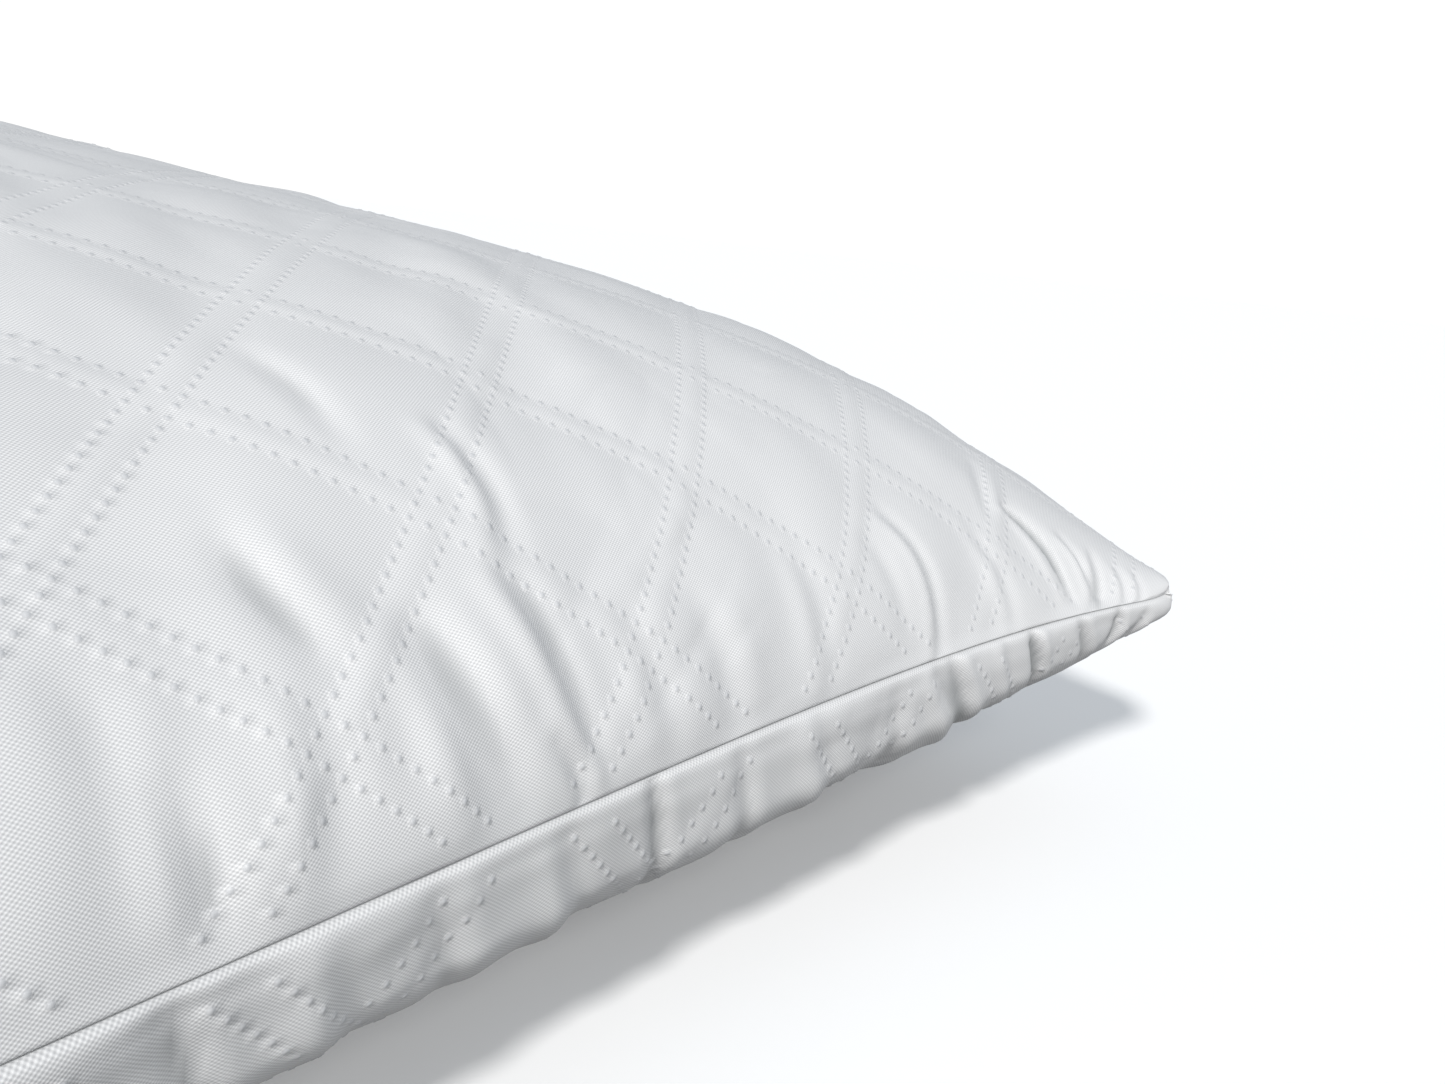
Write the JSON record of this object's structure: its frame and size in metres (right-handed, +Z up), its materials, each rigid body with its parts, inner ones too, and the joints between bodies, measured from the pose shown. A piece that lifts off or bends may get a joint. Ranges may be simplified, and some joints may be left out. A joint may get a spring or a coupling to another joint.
{
  "type": "bed pillow",
  "caption": "Rectangular bed pillow with diamond-quilted panels, knife-edge seams and a soft fibre fill; it lies flat on its belly.",
  "frame": {"origin": "centre of the resting face, under the middle of the pillow", "axes": "+X along the pillow's length towards the right end, +Y towards the back, +Z up from the resting face to the crown"},
  "size_m": [0.7, 0.5, 0.157],
  "materials": {
    "face_fabric": "white brushed microfibre in a fine plain weave with a soft satin sheen, quilted in diamonds by twin rows of small welded dots",
    "wadding": "white bonded polyester wadding",
    "lining": "thin white non-woven lining",
    "fill": "loose white siliconised hollow polyester fibre",
    "thread": "white spun polyester sewing thread",
    "label": "blank white satin ribbon"
  },
  "bodies": {
    "root": {"top_face_fabric": "face_fabric", "top_quilt_wadding": "wadding", "top_lining": "lining", "bottom_face_fabric": "face_fabric", "bottom_quilt_wadding": "wadding", "bottom_lining": "lining", "fibre_fill": "fill", "front_seam_thread": "thread", "back_seam_thread": "thread", "left_seam_thread": "thread", "right_seam_thread": "thread", "closing_thread": "thread", "front_overlock": "thread", "back_overlock": "thread", "left_overlock": "thread", "right_overlock": "thread", "care_label": "label"}
  },
  "joints": []
}
